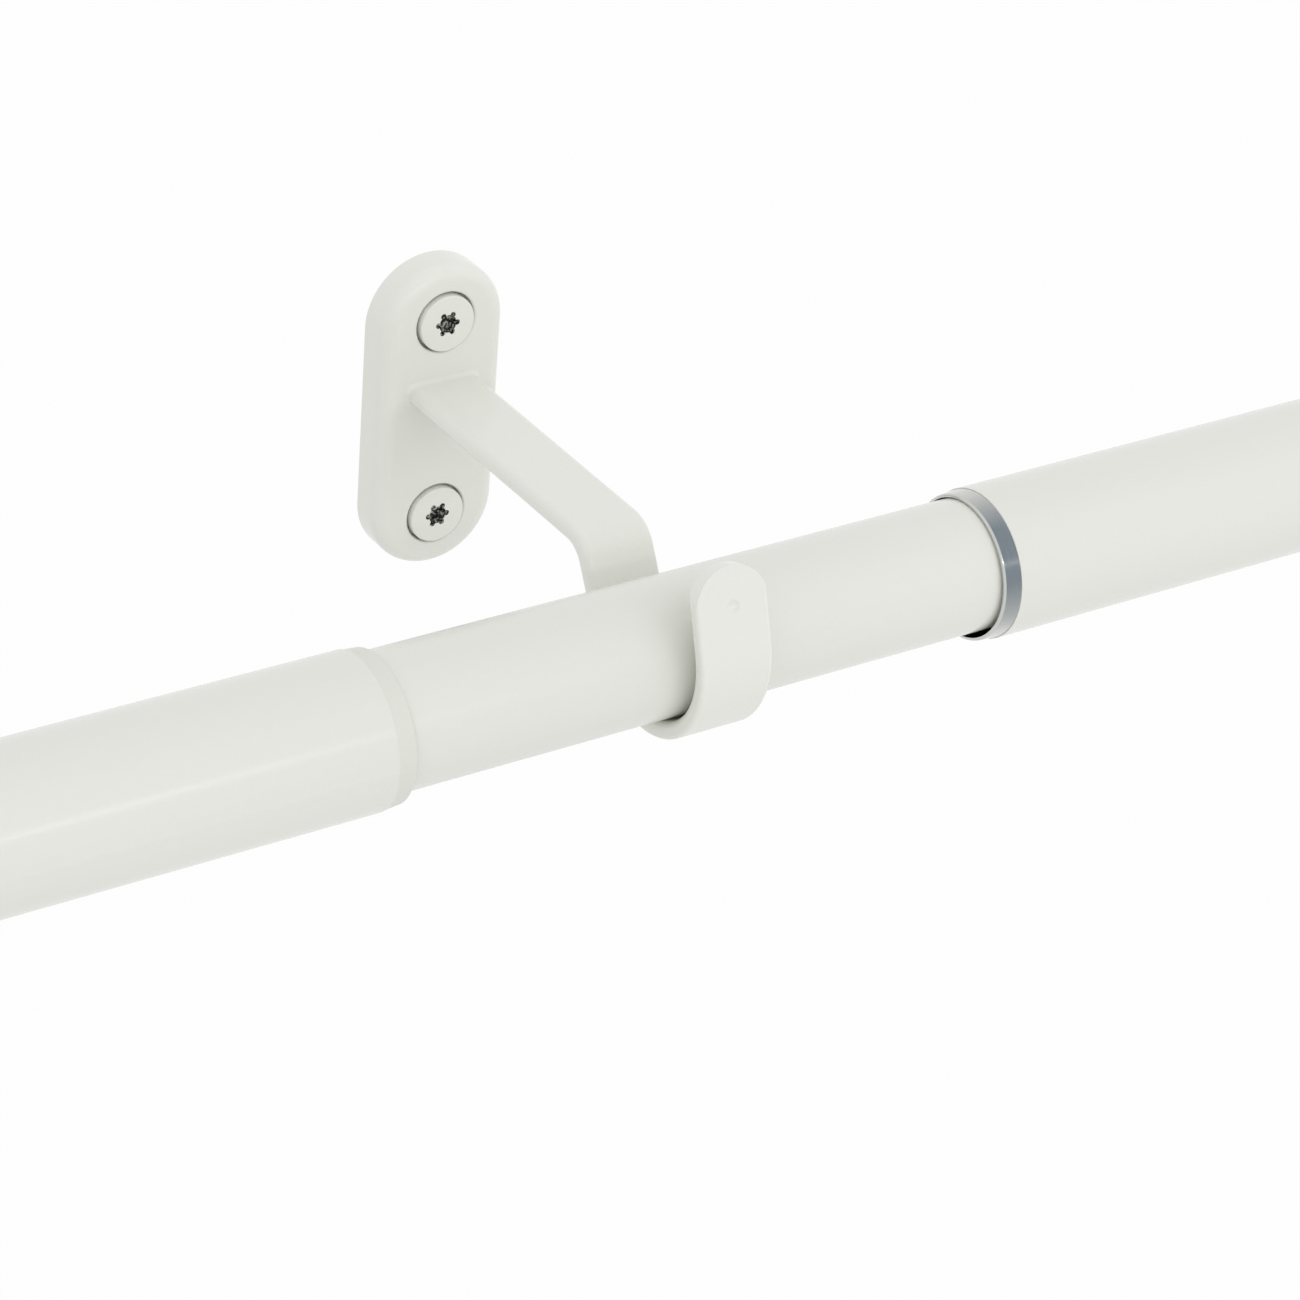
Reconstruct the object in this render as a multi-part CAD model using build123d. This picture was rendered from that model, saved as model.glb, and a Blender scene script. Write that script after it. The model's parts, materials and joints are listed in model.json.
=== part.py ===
from build123d import *
import math
import os

# Extendable curtain rod: a thin middle tube and two wider outer tubes that slide on it,
# carried in the hooks of three cast wall brackets. Millimetres.
# +X runs along the rod to the right and +Z is up. The wall is the plane y = 0 and the
# rod lies in front of it, on the side of negative y. The origin is the middle of the
# centre bracket's back face.

os.makedirs("parts", exist_ok=True)

# Tubes
middle_tube_d = 22.0
middle_tube_wall = 0.6
middle_tube_length = 1150.0
outer_tube_d = 25.0
outer_tube_wall = 0.6
exposed_length = 107.4       # of the middle tube, between the two end rings
closed_hook_gap = 3.0        # from an end ring to the centre hook, with the rod pushed in
closed_cap_gap = 2.9         # from a glide to an end cap, with the rod pushed in

# End rings, pressed into the open ends of the outer tubes
ring_clearance = 0.6         # bore over the middle tube, on the radius
ring_nose = 3.2              # length in front of the tube
ring_step = 0.15             # from the tube down to the ring's base, on the radius
ring_taper = 0.25            # from the ring's base down to its tip, on the radius
ring_edge_r = 0.35
ring_spigot = 8.0
sliding_gap = 0.15           # between a hanging tube and what it slides on

# Glides, plugged into the ends of the middle tube
glide_flange = 3.0
glide_spigot = 12.0
glide_wall = 1.5
glide_lead_in = 0.8          # bevel on the flange

# End caps
cap_d = 28.0
cap_thickness = 4.0
cap_edge_r = 1.4
cap_spigot = 15.0
cap_wall = 1.6

# Bracket plate
plate_width = 23.0
plate_height = 56.0
plate_thickness = 6.5
plate_edge_r = 2.5
screw_spacing = 36.0
counterbore_d = 10.9
counterbore_depth = 2.5
counterbore_edge_r = 0.4
screw_hole_clearance = 0.3   # on the radius

# Bracket arm, hook and tab: one strap
strap_width = 13.0
strap_thickness = 2.8
strap_inner_edge_r = 1.5     # on the top of the arm and the inside of the hook
strap_outer_edge_r = 0.7
arm_top_z = 7.4
root_depth = 2.0             # how deep the arm starts inside the plate
root_r = 0.8
bend_r = 7.1                 # of the upper face, where the arm turns down
leg_lean = 30.0              # degrees from the vertical
rod_reach = 80.0             # wall to the axis of the rod
hook_z = -0.8                # height of the hook's centre over the plate's middle
hook_bore_d = 26.0
tab_lean = 18.0              # degrees, towards the rod
tab_height = 19.0            # top of the tab over the axis of the middle tube
dimple_d = 2.2
dimple_depth = 0.5
end_bracket_inset = 101.0    # from the end of the outer tube

# Screws
screw_d = 5.0
screw_neck_d = 4.2           # unthreaded, inside the plate
screw_length = 16.0
screw_tip = 3.5
screw_tip_d = 1.0
head_d = 10.0
head_height = 3.1
head_edge_r = 0.2
recess_core_r = 1.62
recess_lobe_r = 0.5
recess_lobe_place_r = 1.75
recess_depth = 2.0

middle_r = middle_tube_d / 2
middle_bore_r = middle_r - middle_tube_wall
outer_r = outer_tube_d / 2
outer_bore_r = outer_r - outer_tube_wall
hook_bore_r = hook_bore_d / 2
ring_bore_r = middle_r + ring_clearance

# The middle tube lies in the bottom of the centre hook, and each outer tube hangs on it
middle_z = hook_z - (hook_bore_r - middle_r) + sliding_gap
outer_drop = ring_clearance - sliding_gap
outer_z = middle_z - outer_drop
glide_r = outer_bore_r - outer_drop - sliding_gap
outer_start_x = exposed_length / 2 + ring_nose
closed_start_x = strap_width / 2 + closed_hook_gap + ring_nose
outer_end_when_closed = middle_tube_length / 2 + glide_flange + closed_cap_gap + cap_spigot
outer_tube_length = outer_end_when_closed - closed_start_x
outer_end_x = outer_start_x + outer_tube_length

# The end brackets are set lower than the centre one by this much, so the rod lies level
end_bracket_x = outer_end_x - end_bracket_inset
end_bracket_z = outer_z + (hook_bore_r - outer_r) - sliding_gap - hook_z
bracket_places = {
    "left": (-end_bracket_x, end_bracket_z),
    "centre": (0, 0),
    "right": (end_bracket_x, end_bracket_z),
}
screw_places = {"upper": screw_spacing / 2, "lower": -screw_spacing / 2}
head_seat_depth = plate_thickness - counterbore_depth


def on_axis(z):
    """A plane across the rod: its local Z points along +X, at height z."""
    return Plane(origin=(0, -rod_reach, z), x_dir=(0, 1, 0), z_dir=(1, 0, 0))


def tube(radius, wall, length):
    return extrude(Circle(radius) - Circle(radius - wall), amount=length)


def turned(points):
    """A solid turned about the local Z axis from (radius, height) points."""
    outline = make_face(Polyline(*points, close=True))
    return revolve(Plane.XZ * outline, axis=Axis.Z)


def make_ring():
    """End ring: a slightly tapered nose before the tube and a sleeve pressed into its bore."""
    base_r = outer_r - ring_step
    ring = turned([
        (ring_bore_r, -ring_nose),
        (base_r - ring_taper, -ring_nose),
        (base_r, 0),
        (outer_bore_r, 0),
        (outer_bore_r, ring_spigot),
        (ring_bore_r, ring_spigot),
    ])
    return fillet(ring.edges().group_by(Axis.Z)[0].sort_by(SortBy.RADIUS)[-1], ring_edge_r)


def plug(flange_r, flange, spigot_r, spigot, wall):
    """Moulded plug: a flange in front of the tube's end and a hollow spigot in its bore."""
    return extrude(Circle(flange_r), amount=flange) + tube(spigot_r, wall, -spigot)


def rim(piece):
    """The edge round the piece's top face."""
    return piece.edges().group_by(Axis.Z)[-1]


def strap_path():
    """Middle line of the strap, seen from the side: x is outwards from the wall, y is up."""
    middle_r_of_hook = hook_bore_r + strap_thickness / 2
    arm_z = arm_top_z - strap_thickness / 2
    hook = CenterArc((rod_reach, hook_z), middle_r_of_hook, 180 + leg_lean, 180 - leg_lean + tab_lean)
    leg_start = hook @ 0
    rise = arm_z - leg_start.Y
    corner = (leg_start.X - rise * math.tan(math.radians(leg_lean)), arm_z)
    arm_and_leg = FilletPolyline(
        (plate_thickness - root_depth, arm_z), corner, leg_start, radius=bend_r - strap_thickness / 2
    )
    tab_start = hook @ 1
    rise = middle_z + tab_height - tab_start.Y
    tab = Line(tab_start, (tab_start.X - rise * math.tan(math.radians(tab_lean)), tab_start.Y + rise))
    return arm_and_leg, hook, tab


def make_bracket():
    """One casting: a stadium plate, and a strap that is arm, hook and tab in one."""
    side = Plane(origin=(0, 0, 0), x_dir=(0, -1, 0), z_dir=(-1, 0, 0))
    front = Plane(origin=(0, 0, 0), x_dir=(1, 0, 0), z_dir=(0, -1, 0))

    plate = extrude(front * SlotOverall(plate_height, plate_width, rotation=90), amount=plate_thickness)
    plate = fillet(plate.edges().group_by(Axis.Y)[0], plate_edge_r)

    arm_and_leg, hook, tab = strap_path()
    path = side * (arm_and_leg + hook + tab)
    start = path @ 0
    section = Rectangle(strap_width, strap_thickness)
    section = fillet(section.vertices().group_by(Axis.Y)[-1], strap_inner_edge_r)
    section = fillet(section.vertices().group_by(Axis.Y)[0], strap_outer_edge_r)
    strap = sweep(Plane(origin=start, x_dir=(1, 0, 0), z_dir=(0, -1, 0)) * section, path=path)

    # The tab ends in a half circle, with a small dimple at its centre
    lean = math.radians(tab_lean)
    tab_end = tab @ 1
    tab_top = Vector(0, -tab_end.X, tab_end.Y)
    outwards = Vector(0, -math.cos(lean), math.sin(lean))
    tab_plane = Plane(origin=tab_top, x_dir=(1, 0, 0), z_dir=outwards)
    end_r = strap_width / 2
    corners = Pos(0, -end_r / 2) * Rectangle(strap_width + end_r, end_r)
    corners -= Pos(0, -end_r) * Circle(end_r)
    strap -= extrude(tab_plane * corners, amount=strap_thickness, both=True)
    dimple_sphere_r = ((dimple_d / 2) ** 2 + dimple_depth ** 2) / (2 * dimple_depth)
    dimple_lift = strap_thickness / 2 + dimple_sphere_r - dimple_depth
    strap -= tab_plane * Pos(0, -end_r, dimple_lift) * Sphere(dimple_sphere_r)

    bracket = plate + strap
    root = [
        edge for edge in bracket.edges().filter_by_position(Axis.Y, -plate_thickness, -plate_thickness)
        if edge.center().Z > arm_top_z - strap_thickness - root_r and edge.length < plate_width
    ]
    bracket = fillet(root, root_r)

    hole = Circle(screw_d / 2 + screw_hole_clearance)
    for z in screw_places.values():
        bracket -= extrude(front * Pos(0, z) * hole, amount=plate_thickness)
        seat = front * Pos(0, z, plate_thickness - counterbore_depth)
        bracket -= extrude(seat * Circle(counterbore_d / 2), amount=counterbore_depth)
    rims = [
        edge for edge in bracket.edges().filter_by(GeomType.CIRCLE).filter_by_position(
            Axis.Y, -plate_thickness, -plate_thickness)
        if abs(edge.radius - counterbore_d / 2) < counterbore_edge_r
    ]
    return fillet(rims, counterbore_edge_r)


def make_screw():
    """Pan head screw with a six-lobe recess; local Z points out of the wall, head seat at 0."""
    head = extrude(Circle(head_d / 2), amount=head_height)
    head = fillet(rim(head), head_edge_r)
    recess = Circle(recess_core_r) + PolarLocations(recess_lobe_place_r, 6) * Circle(recess_lobe_r)
    head -= Pos(0, 0, head_height - recess_depth) * extrude(recess, amount=recess_depth)
    shank = turned([
        (0, 0),
        (screw_neck_d / 2, 0),
        (screw_neck_d / 2, -head_seat_depth),
        (screw_d / 2, -head_seat_depth),
        (screw_d / 2, screw_tip - screw_length),
        (screw_tip_d / 2, -screw_length),
        (0, -screw_length),
    ])
    return head + shank


def build():
    """All pieces by name, at rest."""
    pieces = {}

    middle = tube(middle_r, middle_tube_wall, middle_tube_length)
    half_length = middle_tube_length / 2
    pieces["middle_tube"] = on_axis(middle_z) * Pos(0, 0, -half_length) * middle

    glide = plug(glide_r, glide_flange, middle_bore_r, glide_spigot, glide_wall)
    glide = chamfer(rim(glide), glide_lead_in)
    outer = tube(outer_r, outer_tube_wall, outer_tube_length)
    ring = make_ring()
    cap = plug(cap_d / 2, cap_thickness, outer_bore_r, cap_spigot, cap_wall)
    cap = fillet(rim(cap), cap_edge_r)
    turned_round = Rot(0, 180, 0)
    for side, facing in (("right", Rot(0, 0, 0)), ("left", turned_round)):
        pieces[side + "_glide"] = on_axis(middle_z) * facing * Pos(0, 0, half_length) * glide
        pieces[side + "_tube"] = on_axis(outer_z) * facing * Pos(0, 0, outer_start_x) * outer
        pieces[side + "_end_ring"] = on_axis(outer_z) * facing * Pos(0, 0, outer_start_x) * ring
        pieces[side + "_end_cap"] = on_axis(outer_z) * facing * Pos(0, 0, outer_end_x) * cap

    bracket = make_bracket()
    head_seat = Plane(origin=(0, -head_seat_depth, 0), x_dir=(1, 0, 0), z_dir=(0, -1, 0))
    seated_screw = head_seat * make_screw()
    for side, (x, z) in bracket_places.items():
        pieces[side + "_bracket"] = Pos(x, 0, z) * bracket
        for height, screw_z in screw_places.items():
            pieces[side + "_" + height + "_screw"] = Pos(x, 0, z + screw_z) * seated_screw
    return pieces


for name, piece in build().items():
    export_step(piece, "parts/" + name + ".step")
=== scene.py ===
import bpy
import json
import math
from mathutils import Matrix, Vector

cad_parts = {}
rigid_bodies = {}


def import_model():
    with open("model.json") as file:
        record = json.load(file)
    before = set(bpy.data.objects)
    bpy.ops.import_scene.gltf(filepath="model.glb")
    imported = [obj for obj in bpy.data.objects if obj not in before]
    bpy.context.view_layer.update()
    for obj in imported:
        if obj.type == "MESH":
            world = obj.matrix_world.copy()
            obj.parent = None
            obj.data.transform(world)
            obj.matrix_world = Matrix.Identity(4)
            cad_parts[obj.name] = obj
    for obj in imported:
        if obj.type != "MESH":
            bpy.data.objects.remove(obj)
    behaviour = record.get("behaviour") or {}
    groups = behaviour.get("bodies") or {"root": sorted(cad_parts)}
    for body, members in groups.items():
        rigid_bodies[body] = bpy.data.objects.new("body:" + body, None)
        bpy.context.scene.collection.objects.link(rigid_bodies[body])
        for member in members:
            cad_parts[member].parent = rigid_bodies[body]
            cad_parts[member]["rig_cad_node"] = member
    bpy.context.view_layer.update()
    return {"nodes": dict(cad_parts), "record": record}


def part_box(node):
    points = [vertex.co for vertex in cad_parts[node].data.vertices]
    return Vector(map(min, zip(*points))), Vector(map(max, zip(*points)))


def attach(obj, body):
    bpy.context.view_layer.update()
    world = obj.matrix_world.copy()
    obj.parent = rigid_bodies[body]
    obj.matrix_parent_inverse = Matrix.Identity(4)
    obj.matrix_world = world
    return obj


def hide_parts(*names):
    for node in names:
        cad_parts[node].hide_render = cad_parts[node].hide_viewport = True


# An extendable curtain rod: white powder-coated tubes that slide in each other, an end ring
# on each outer tube, enamelled on the left and bright on the right, and cast wall brackets
# held by screws. Metres, with +X along the rod, +Z up and the wall in the plane y = 0. The
# origin is the middle of the centre bracket's back.

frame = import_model()

MM = 0.001

# The photograph's camera
photo_side_px = 1300
focal_px = 4285.5
camera_azimuth = math.radians(-35.25)
camera_elevation = math.radians(31.3)
camera_roll = math.radians(4.96)
origin_px = (421.2, 402.2)           # where the origin shows in the photograph
origin_depth = 0.7163                # of the origin before the camera, along its line of sight
sensor_width = 36                    # millimetres, as the camera wants it

# Screws, as in the solids
head_seat_y = -4.0 * MM
recess_r = 2.35 * MM                 # just over the reach of its lobes
recess_rim_y = -7.0 * MM             # the recess's painted shade starts just inside its rim
neck_r = 2.1 * MM
thread_r = 2.5 * MM
thread_start_y = 0.0
point_start_y = 8.5 * MM
point_y = 12.0 * MM

# What the visible screws have behind their heads instead of the solids' plain shank
sunk_in_head = 0.5 * MM
neck_shoulder = 0.6 * MM             # over which the neck narrows to the core
thread_core_r = 1.7 * MM
thread_foot_r = 0.9 * thread_core_r  # the thread starts inside the core
thread_pitch = 1.8 * MM
thread_foot_half = 0.5 * MM          # half the width of the thread at its foot
thread_crest_half = 0.12 * MM        # and at its crest
thread_run_in = 0.2                  # the share of its height that it starts with
thread_cut = 0.05 * MM               # from the end of the thread to the point
steps_per_turn = 40

# The places of the paint, the recess's painted shade and the zinc among a screw's materials
paint_slot = 0
recess_slot = 1
zinc_slot = 2

# Meshes
same_place = 0.001 * MM              # corners nearer to each other than this are one
same_depth = 0.01 * MM               # corners nearer than this to the head's seat lie in it
smooth_below = math.radians(35)      # edges with a smaller angle look round

# Noise mostly lies between these two
noise_low = 0.3
noise_high = 0.7

# Studio
floor_side = 12
floor_z = -1.6
floor_white = 0.96                   # the share seen as white; the rest takes the shadow
card_r = 1.5
card_low_x = 0.66
card_high_x = 0.92
card_sides = 96
rod_y = -80 * MM                     # the rod's axis, round which the card is bent
rod_z = -3 * MM
card_colours = [                     # each at its angle up from level in front of the rod, in degrees
    (-95, "F2F4F4"), (-5, "94A1AF"), (17, "94A1AF"), (24, "B0BAC8"),
    (31, "94A1AF"), (78, "94A1AF"), (150, "F6F6F6"),
]


def linear(hex_colour):
    """An sRGB colour such as "E0E2DB" as the linear red, green, blue and alpha that shaders take."""
    channels = [int(hex_colour[i:i + 2], 16) / 255 for i in (0, 2, 4)]
    return [c / 12.92 if c <= 0.04045 else ((c + 0.055) / 1.055) ** 2.4 for c in channels] + [1.0]


def add_node(tree, kind, inputs=None, **settings):
    """Adds a node, sets its properties, and gives each input, by name or number, a value or a link."""
    node = tree.nodes.new(kind)
    for name, value in settings.items():
        setattr(node, name, value)
    for name, value in (inputs or {}).items():
        if isinstance(value, bpy.types.NodeSocket):
            tree.links.new(value, node.inputs[name])
        else:
            node.inputs[name].default_value = value
    return node


def new_material(name):
    """An empty material, its tree and the object's own coordinates."""
    material = bpy.data.materials.new(name)
    material.use_nodes = True
    tree = material.node_tree
    tree.nodes.clear()
    place = add_node(tree, "ShaderNodeTexCoord").outputs["Object"]
    return material, tree, place


def noise(tree, place, grain, detail=2.0):
    """Noise whose grains are about this many metres wide, from 0 to 1."""
    inputs = {"Vector": place, "Scale": 1 / grain, "Detail": detail, "Roughness": 0.5}
    return add_node(tree, "ShaderNodeTexNoise", inputs).outputs["Fac"]


def ramp_colours(tree, factor, stops):
    """The colour that a factor has on a ramp of (position, hex colour) stops."""
    ramp = add_node(tree, "ShaderNodeValToRGB", {"Fac": factor})
    elements = ramp.color_ramp.elements
    while len(elements) < len(stops):
        elements.new(0.5)
    for element, (position, colour) in zip(elements, stops):
        element.position = position
    for element, (position, colour) in zip(elements, stops):
        element.color = linear(colour)
    return ramp.outputs["Color"]


def blend_colours(tree, factor, first, second):
    """A colour between two, as noise goes from its low to its high values."""
    return ramp_colours(tree, factor, [(noise_low, first), (noise_high, second)])


def blend_values(tree, factor, first, second):
    """A value between two, as noise goes from its low to its high values."""
    inputs = {"Value": factor, "From Min": noise_low, "From Max": noise_high,
              "To Min": first, "To Max": second}
    return add_node(tree, "ShaderNodeMapRange", inputs).outputs["Result"]


def bump(tree, height, strength, distance):
    """Normals for a surface that a height of 0 to 1 lifts by up to this many metres."""
    inputs = {"Height": height, "Strength": strength, "Distance": distance}
    return add_node(tree, "ShaderNodeBump", inputs).outputs["Normal"]


def finish_material(material, tree, inputs):
    """Ends a material in one principled shader."""
    shader = add_node(tree, "ShaderNodeBsdfPrincipled", inputs)
    add_node(tree, "ShaderNodeOutputMaterial", {"Surface": shader.outputs["BSDF"]})
    return material


def powder_coat(name, darker, lighter):
    """White polyester powder coat, sprayed dry and baked: semi-gloss, with a faint orange peel.
    It breaks up the long highlights a little and keeps the white from looking like plastic."""
    material, tree, place = new_material(name)
    shade = noise(tree, place, grain=0.5 * MM)
    gloss = noise(tree, place, grain=1.6 * MM, detail=4.0)
    peel = noise(tree, place, grain=1.1 * MM, detail=1.0)    # coarser than the real 0.5 mm, to show
    return finish_material(material, tree, {
        "Base Color": blend_colours(tree, shade, darker, lighter),
        "Roughness": blend_values(tree, gloss, 0.19, 0.22),
        "IOR": 1.5,
        "Normal": bump(tree, peel, strength=0.05, distance=0.05 * MM),
    })


def ring_enamel_with_painted_shade():
    """White enamel, dipped and stoved, on the left end ring: softer in its gloss than the powder coat on
    the tubes.
    Its colour is painted a shade darker than theirs, as painted shade on the ring's taper, and that sets
    the ring off from its tube."""
    material, tree, place = new_material("white_enamel_with_painted_shade")
    shade = noise(tree, place, grain=0.5 * MM)
    gloss = noise(tree, place, grain=1.6 * MM, detail=4.0)
    return finish_material(material, tree, {
        "Base Color": blend_colours(tree, shade, "DEDFD6", "DFE0D9"),
        "Roughness": blend_values(tree, gloss, 0.34, 0.4),
        "IOR": 1.5,
    })


def stoved_enamel():
    """Stoved enamel on the screws' heads: white as the casting round them, but a little softer
    in its gloss, so that the flat heads show no sharp reflection."""
    material, tree, place = new_material("white_stoved_enamel")
    shade = noise(tree, place, grain=0.5 * MM)
    gloss = noise(tree, place, grain=1.5 * MM, detail=4.0)
    return finish_material(material, tree, {
        "Base Color": blend_colours(tree, shade, "E8E9E1", "E9EAE4"),
        "Roughness": blend_values(tree, gloss, 0.3, 0.38),
        "IOR": 1.5,
    })


def painted_recess_shade():
    """Painted shade in the screws' recesses: near black and dull, for the shadow in the deep hole,
    broken by small pale specks of the white enamel where the noise comes near its top."""
    material, tree, place = new_material("painted_recess_shade")
    specks = noise(tree, place, grain=0.45 * MM, detail=1.0)
    return finish_material(material, tree, {
        "Base Color": ramp_colours(tree, specks, [(0.5, "24231F"), (0.58, "D4D4CC")]),
        "Roughness": blend_values(tree, specks, 0.55, 0.35),
        "Normal": bump(tree, specks, strength=0.5, distance=0.1 * MM),
    })


def electroplated_zinc():
    """Electroplated zinc on a rolled thread: bluish, satin, and cloudy from the passivation."""
    material, tree, place = new_material("electroplated_zinc")
    clouds = noise(tree, place, grain=2.5 * MM)
    gloss = noise(tree, place, grain=1.2 * MM)
    return finish_material(material, tree, {
        "Base Color": blend_colours(tree, clouds, "868B91", "A3A7AA"),
        "Roughness": blend_values(tree, gloss, 0.28, 0.38),
        "Metallic": 1.0,
    })


def bright_nickel():
    """Bright nickel on the turned right ring: nearly a mirror, with faint tool lines round the axis."""
    material, tree, place = new_material("bright_nickel")
    drawn_out = add_node(tree, "ShaderNodeMapping", {"Vector": place, "Scale": (1, 0.02, 0.02)})
    lines = noise(tree, drawn_out.outputs["Vector"], grain=0.12 * MM)
    shade = noise(tree, place, grain=6 * MM)
    return finish_material(material, tree, {
        "Base Color": blend_colours(tree, shade, "C6C7C4", "CCCCC8"),
        "Roughness": blend_values(tree, lines, 0.09, 0.15),
        "Metallic": 1.0,
        "Normal": bump(tree, lines, strength=0.06, distance=0.01 * MM),
    })


def moulded_abs():
    """White ABS from a spark-eroded mould: satin, with a fine even grain and hardly a highlight."""
    material, tree, place = new_material("white_moulded_abs")
    shade = noise(tree, place, grain=12 * MM)
    gloss = noise(tree, place, grain=4 * MM)
    grain = noise(tree, place, grain=0.6 * MM, detail=3.0)   # coarser than the real 0.1 mm, to show
    return finish_material(material, tree, {
        "Base Color": blend_colours(tree, shade, "E3E3DC", "E8E8E2"),
        "Roughness": blend_values(tree, gloss, 0.46, 0.54),
        "IOR": 1.53,
        "Normal": bump(tree, grain, strength=0.12, distance=0.04 * MM),
    })


def deselect_all():
    """Leaves no object selected."""
    for obj in bpy.context.selected_objects:
        obj.select_set(False)


def activate(obj):
    """Makes this the one selected and active object."""
    deselect_all()
    obj.select_set(True)
    bpy.context.view_layer.objects.active = obj


def apply_place(obj):
    """Puts the object's place into its mesh."""
    activate(obj)
    bpy.ops.object.transform_apply(location=True, rotation=True, scale=True)


def join_to(kept, added):
    """Makes one mesh part of another, which keeps its name."""
    activate(kept)
    added.select_set(True)
    bpy.ops.object.join()


def set_materials(obj, materials):
    """Gives a mesh these materials and no others."""
    obj.data.materials.clear()
    for material in materials:
        obj.data.materials.append(material)


def recalculate_normals(obj):
    """Merges doubled corners and turns all faces outwards."""
    activate(obj)
    bpy.ops.object.mode_set(mode="EDIT")
    bpy.ops.mesh.select_all(action="SELECT")
    bpy.ops.mesh.remove_doubles(threshold=same_place)
    bpy.ops.mesh.normals_make_consistent(inside=False)
    bpy.ops.object.mode_set(mode="OBJECT")


def turned_profile(name, points, pitch=0.0, turns=1):
    """Turns a line of (radius, y) points about the Y axis, or winds it as a screw."""
    corners = [(radius, y, 0) for radius, y in points]
    lines = [(i, i + 1) for i in range(len(points) - 1)]
    mesh = bpy.data.meshes.new(name)
    mesh.from_pydata(corners, lines, [])
    obj = bpy.data.objects.new(name, mesh)
    bpy.context.scene.collection.objects.link(obj)
    activate(obj)
    bpy.ops.object.modifier_add(type="SCREW")
    screw = obj.modifiers[-1]
    screw.axis = "Y"
    screw.screw_offset = pitch
    screw.iterations = turns
    screw.steps = screw.render_steps = steps_per_turn
    screw.use_merge_vertices = pitch == 0
    screw.merge_threshold = same_place
    bpy.ops.object.modifier_apply(modifier=screw.name)
    return obj


def make_core():
    """Neck, core and point of a screw, on the Y axis, from just inside the head."""
    core = turned_profile("shank_core", [
        (0, head_seat_y - sunk_in_head), (neck_r, head_seat_y - sunk_in_head),
        (neck_r, thread_start_y - neck_shoulder), (thread_core_r, thread_start_y),
        (thread_core_r, point_start_y), (0, point_y),
    ])
    recalculate_normals(core)
    return core


def make_thread():
    """The rolled thread, on the Y axis, wound a little too long, cut at both ends and closed."""
    turns = math.ceil((point_y - thread_start_y) / thread_pitch)
    thread = turned_profile("thread", [
        (thread_foot_r, thread_start_y - thread_foot_half), (thread_r, thread_start_y - thread_crest_half),
        (thread_r, thread_start_y + thread_crest_half), (thread_foot_r, thread_start_y + thread_foot_half),
        (thread_foot_r, thread_start_y - thread_foot_half),
    ], pitch=thread_pitch, turns=turns)
    activate(thread)
    bpy.ops.object.mode_set(mode="EDIT")
    for cut_y, outwards in ((point_y - thread_cut, 1), (thread_start_y, -1)):
        bpy.ops.mesh.select_all(action="SELECT")
        bpy.ops.mesh.bisect(plane_co=(0, cut_y, 0), plane_no=(0, outwards, 0), clear_outer=True,
                            threshold=same_place)
    bpy.ops.mesh.select_all(action="SELECT")
    bpy.ops.mesh.fill_holes(sides=0)
    bpy.ops.object.mode_set(mode="OBJECT")
    narrow_thread(thread)
    recalculate_normals(thread)
    return thread


def narrow_thread(thread):
    """Lets the thread rise to its height over the first turn and narrow with the point."""
    for vertex in thread.data.vertices:
        radius = math.hypot(vertex.co.x, vertex.co.z)
        along = vertex.co.y
        core_share = min(1, max(0, (point_y - along) / (point_y - point_start_y)))
        run_in = min(1, (along - thread_start_y) / thread_pitch + thread_run_in)
        run_out = math.sqrt(core_share)
        wanted = thread_core_r * core_share + (radius - thread_core_r) * run_in * run_out
        vertex.co.x *= wanted / radius
        vertex.co.z *= wanted / radius


def make_shank(finishes):
    """All of a screw behind its head, on the Y axis."""
    shank = make_core()
    join_to(shank, make_thread())
    set_materials(shank, finishes)
    for face in shank.data.polygons:
        face.material_index = zinc_slot
    return shank


def make_head(node_name, axis_x, axis_z, finishes):
    """A copy of one solid screw with its shank cut off behind the head and the cut closed."""
    node = frame["nodes"][node_name]
    head = node.copy()
    head.data = node.data.copy()
    head.name = node_name + "_finished"
    # The copy is a new piece, so the mark and the parent of the solid come off
    del head["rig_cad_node"]
    head.parent = None
    bpy.context.scene.collection.objects.link(head)
    activate(head)
    bpy.ops.mesh.customdata_custom_splitnormals_clear()
    bpy.ops.object.mode_set(mode="EDIT")
    bpy.ops.mesh.select_all(action="SELECT")
    bpy.ops.mesh.remove_doubles(threshold=same_place)
    bpy.ops.mesh.select_all(action="DESELECT")
    bpy.ops.object.mode_set(mode="OBJECT")
    for face in head.data.polygons:
        depths = [head.data.vertices[i].co.y for i in face.vertices]
        face.select = min(depths) > head_seat_y - same_depth and max(depths) > head_seat_y + same_depth
    bpy.ops.object.mode_set(mode="EDIT")
    bpy.ops.mesh.delete(type="FACE")
    bpy.ops.mesh.select_all(action="SELECT")
    bpy.ops.mesh.fill_holes(sides=0)
    bpy.ops.object.mode_set(mode="OBJECT")
    set_materials(head, finishes)
    for face in head.data.polygons:
        off_axis = math.hypot(face.center.x - axis_x, face.center.z - axis_z)
        # Faces deep in the recess take its painted shade, and the rest take the white paint
        in_recess = off_axis < recess_r and face.center.y > recess_rim_y
        face.material_index = recess_slot if in_recess else paint_slot
    return head


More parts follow.
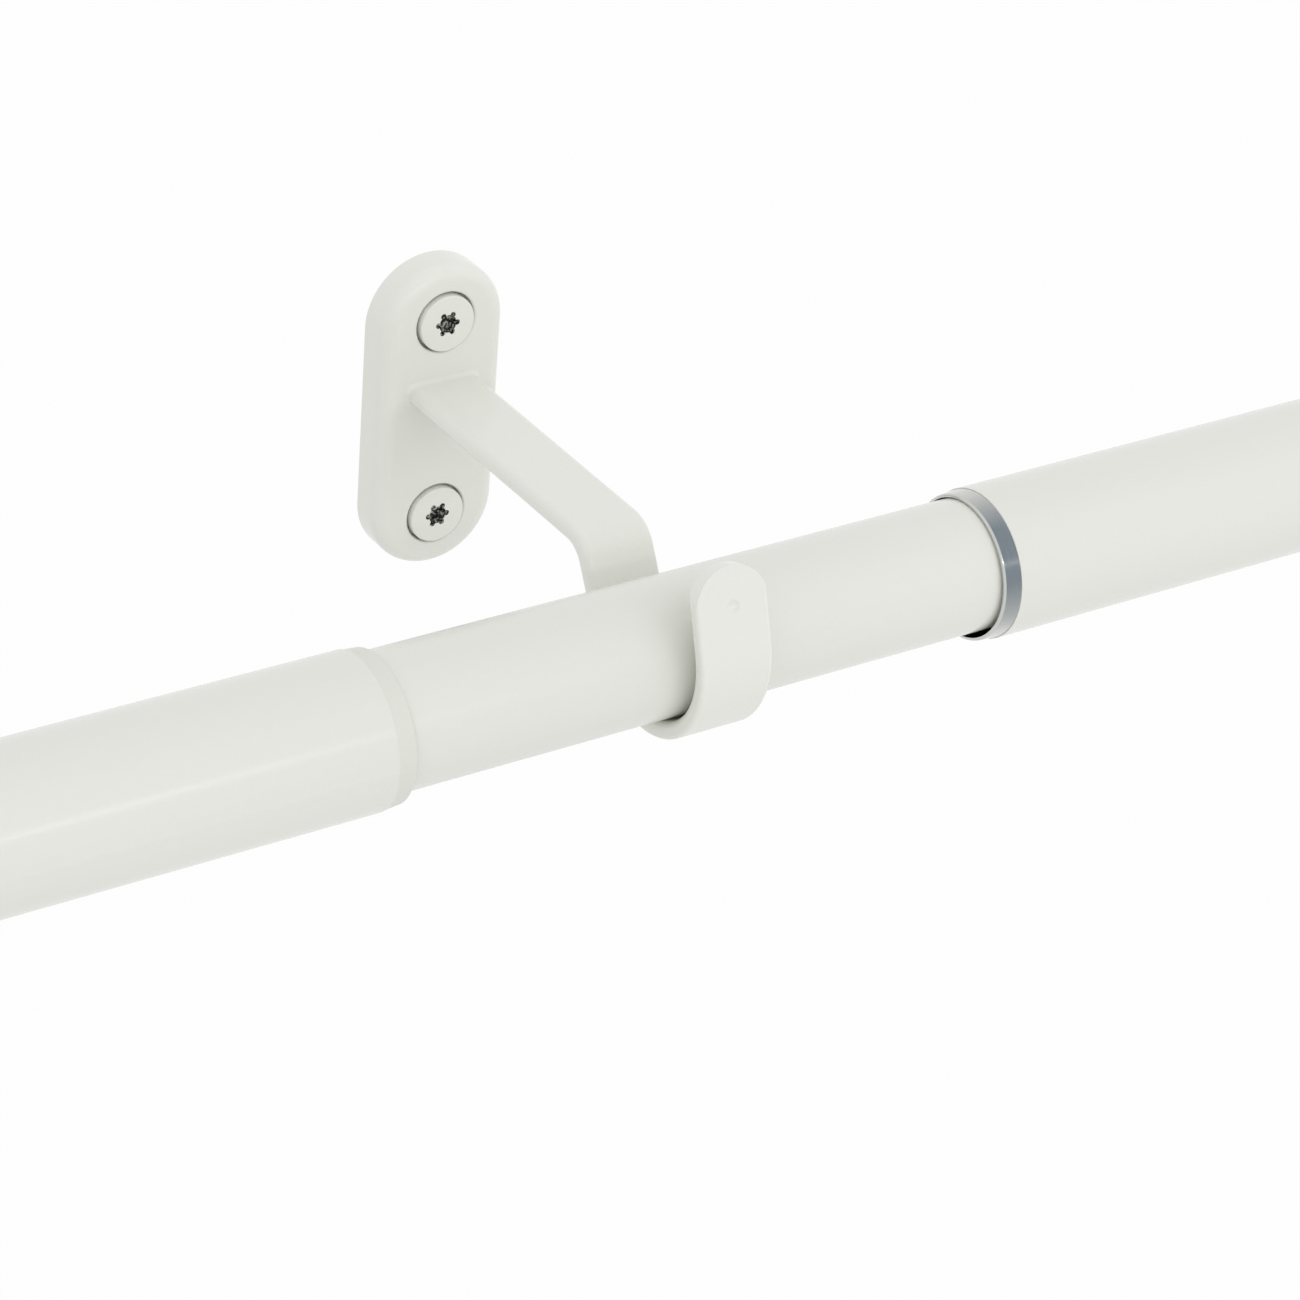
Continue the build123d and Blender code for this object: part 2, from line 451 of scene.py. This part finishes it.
def make_screws(paint):
    """Each screw keeps its head from the solid and gets a real neck, thread and point behind it."""
    # The second of these is the recess's painted shade
    finishes = (paint, painted_recess_shade(), electroplated_zinc())
    shank = make_shank(finishes)
    for node_name in sorted(frame["nodes"]):
        if not node_name.endswith("_screw"):
            continue
        low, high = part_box(node_name)
        axis_x = (low.x + high.x) / 2
        axis_z = (low.z + high.z) / 2
        screw = make_head(node_name, axis_x, axis_z, finishes)
        back = shank.copy()
        back.data = shank.data.copy()
        bpy.context.scene.collection.objects.link(back)
        back.location = (axis_x, 0, axis_z)
        apply_place(back)
        join_to(screw, back)
        bpy.ops.object.shade_smooth_by_angle(angle=smooth_below)
        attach(screw, "root")
        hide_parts(node_name)
    bpy.data.objects.remove(shank)


def dress_nodes(finishes, own_finishes):
    """Gives each solid that shows as it is its own finish, or else that of its record slot."""
    slot_of = {row["node"]: row["material_slot"] for row in frame["record"]["subparts"]}
    for name, node in frame["nodes"].items():
        set_materials(node, [own_finishes.get(name, finishes[slot_of[name]])])


def add_camera():
    """Turns the fitted angles and the origin's place in the photograph into Blender's camera."""
    a, e, r = camera_azimuth, camera_elevation, camera_roll
    right = Vector((math.cos(a), math.sin(a), 0))
    up = Vector((-math.sin(a) * math.sin(e), math.cos(a) * math.sin(e), math.cos(e)))
    back = Vector((math.sin(a) * math.cos(e), -math.cos(a) * math.cos(e), math.sin(e)))
    image_right = right * math.cos(r) + up * math.sin(r)
    image_up = up * math.cos(r) - right * math.sin(r)
    metres_per_px = origin_depth / focal_px
    aside = (origin_px[0] - photo_side_px / 2) * metres_per_px
    above = (photo_side_px / 2 - origin_px[1]) * metres_per_px
    camera_data = bpy.data.cameras.new("photo_camera")
    camera_data.sensor_width = sensor_width
    camera_data.lens = sensor_width * focal_px / photo_side_px
    camera = bpy.data.objects.new("photo_camera", camera_data)
    bpy.context.scene.collection.objects.link(camera)
    turned = Matrix((image_right, image_up, back)).transposed().to_4x4()
    place = back * origin_depth - image_right * aside - image_up * above
    camera.matrix_world = Matrix.Translation(place) @ turned
    bpy.context.scene.camera = camera


def add_lamp(name, place, target, size, power, mirrored=True):
    """A soft box: a rectangular lamp of that width and height, turned to its target."""
    lamp_data = bpy.data.lights.new(name, "AREA")
    lamp_data.shape = "RECTANGLE"
    lamp_data.size, lamp_data.size_y = size
    lamp_data.energy = power
    lamp = bpy.data.objects.new(name, lamp_data)
    bpy.context.scene.collection.objects.link(lamp)
    aim = Vector(target) - Vector(place)
    lamp.matrix_world = Matrix.Translation(place) @ aim.to_track_quat("-Z", "Y").to_matrix().to_4x4()
    lamp.visible_glossy = mirrored


def seen_directly(tree):
    """1 for rays from the camera and for those that mirrors and glass send on, and 0 for the rest."""
    path = add_node(tree, "ShaderNodeLightPath")
    seen = path.outputs["Is Camera Ray"]
    for other in ("Is Glossy Ray", "Is Transmission Ray"):
        either = add_node(tree, "ShaderNodeMath", {0: seen, 1: path.outputs[other]}, operation="MAXIMUM")
        seen = either.outputs["Value"]
    return seen


def add_world(ambient):
    """Even light of this strength from all round, and a white background wherever it is seen."""
    world = bpy.data.worlds.new("studio")
    bpy.context.scene.world = world
    world.use_nodes = True
    tree = world.node_tree
    tree.nodes.clear()
    strength = add_node(tree, "ShaderNodeMapRange", {
        "Value": seen_directly(tree), "To Min": ambient, "To Max": 1.0,
    })
    background = add_node(tree, "ShaderNodeBackground", {
        "Color": (1, 1, 1, 1), "Strength": strength.outputs["Result"],
    })
    add_node(tree, "ShaderNodeOutputWorld", {"Surface": background.outputs["Background"]})


def add_floor():
    """A plain pale floor that is seen as white and still takes the object's shadow."""
    deselect_all()
    bpy.ops.mesh.primitive_plane_add(size=floor_side, location=(0, 0, floor_z))
    floor = bpy.context.active_object
    floor.name = "floor"
    apply_place(floor)
    material, tree, _ = new_material("white_floor_paint")
    matt = add_node(tree, "ShaderNodeBsdfDiffuse", {"Color": linear("E6E6E4")})
    white = add_node(tree, "ShaderNodeEmission", {"Color": (1, 1, 1, 1), "Strength": 1.0})
    share = add_node(tree, "ShaderNodeMath", {0: seen_directly(tree), 1: floor_white},
                     operation="MULTIPLY")
    mixed = add_node(tree, "ShaderNodeMixShader", {
        "Fac": share.outputs["Value"], 1: matt.outputs["BSDF"], 2: white.outputs["Emission"],
    })
    add_node(tree, "ShaderNodeOutputMaterial", {"Surface": mixed.outputs["Shader"]})
    set_materials(floor, [material])


def card_glow():
    """The colours of the card by the angle round the rod, as light of their own."""
    material, tree, place = new_material("blue_grey_card")
    parts = add_node(tree, "ShaderNodeSeparateXYZ", {"Vector": place})
    forwards = add_node(tree, "ShaderNodeMath", {0: rod_y, 1: parts.outputs["Y"]}, operation="SUBTRACT")
    upwards = add_node(tree, "ShaderNodeMath", {0: parts.outputs["Z"], 1: rod_z}, operation="SUBTRACT")
    angle = add_node(tree, "ShaderNodeMath", {0: upwards.outputs["Value"], 1: forwards.outputs["Value"]},
                     operation="ARCTAN2")
    turn = add_node(tree, "ShaderNodeMapRange", {
        "Value": angle.outputs["Value"], "From Min": -math.pi, "From Max": math.pi,
    })
    stops = [(degrees / 360 + 0.5, colour) for degrees, colour in card_colours]
    colour = ramp_colours(tree, turn.outputs["Result"], stops)
    glow = add_node(tree, "ShaderNodeEmission", {"Color": colour, "Strength": 1.0})
    add_node(tree, "ShaderNodeOutputMaterial", {"Surface": glow.outputs["Emission"]})
    return material


def add_bent_card():
    """A card bent round the rod and seen only in reflections. It is blue-grey in front and above,
    with one paler bar, and gives the bright ring the band that runs round it."""
    deselect_all()
    bpy.ops.mesh.primitive_cylinder_add(
        vertices=card_sides, radius=card_r, depth=card_high_x - card_low_x, end_fill_type="NOTHING",
        location=((card_low_x + card_high_x) / 2, rod_y, rod_z), rotation=(0, math.radians(90), 0))
    card = bpy.context.active_object
    card.name = "bent_card"
    apply_place(card)
    set_materials(card, [card_glow()])
    card.visible_camera = card.visible_diffuse = card.visible_shadow = False
    card.visible_transmission = card.visible_volume_scatter = False


add_camera()

paint = stoved_enamel()
# Painted light: the castings' coat is a few levels lighter than the same coat on the tubes, to lift the
# shade that falls on the plates under the arms
casting_coat_painted_lighter = powder_coat("white_powder_coat_on_castings_painted_lighter", "E8E9E1", "E9EAE4")
dress_nodes({
    "white_enamel": powder_coat("white_powder_coat_on_tubes", "E4E5DD", "E5E6E0"),
    "painted_screw": paint,
    "bright_zinc": bright_nickel(),
    "white_plastic": moulded_abs(),
}, {
    # Painted shade: the left ring's enamel is a shade darker than the tubes' coat
    "left_end_ring": ring_enamel_with_painted_shade(),
    "left_bracket": casting_coat_painted_lighter,
    "centre_bracket": casting_coat_painted_lighter,
    "right_bracket": casting_coat_painted_lighter,
})
make_screws(paint)

# The two soft boxes only brighten what faces them. The strip also shows in the gloss, as the
# highlight that runs along the tubes.
add_world(ambient=0.88)
add_floor()
add_bent_card()
add_lamp("low_softbox", place=(0.6, -1.4, -0.35), target=(0, -0.05, 0), size=(1.0, 1.0),
         power=2.0, mirrored=False)
add_lamp("high_softbox", place=(1.0, -0.9, 1.2), target=(0, -0.05, 0), size=(1.0, 1.0),
         power=1.3, mirrored=False)
add_lamp("front_strip", place=(-0.1, -1.6, 0.62), target=(-0.1, -0.08, 0), size=(2.0, 0.12),
         power=2.4)

bpy.context.scene.view_settings.view_transform = "Standard"
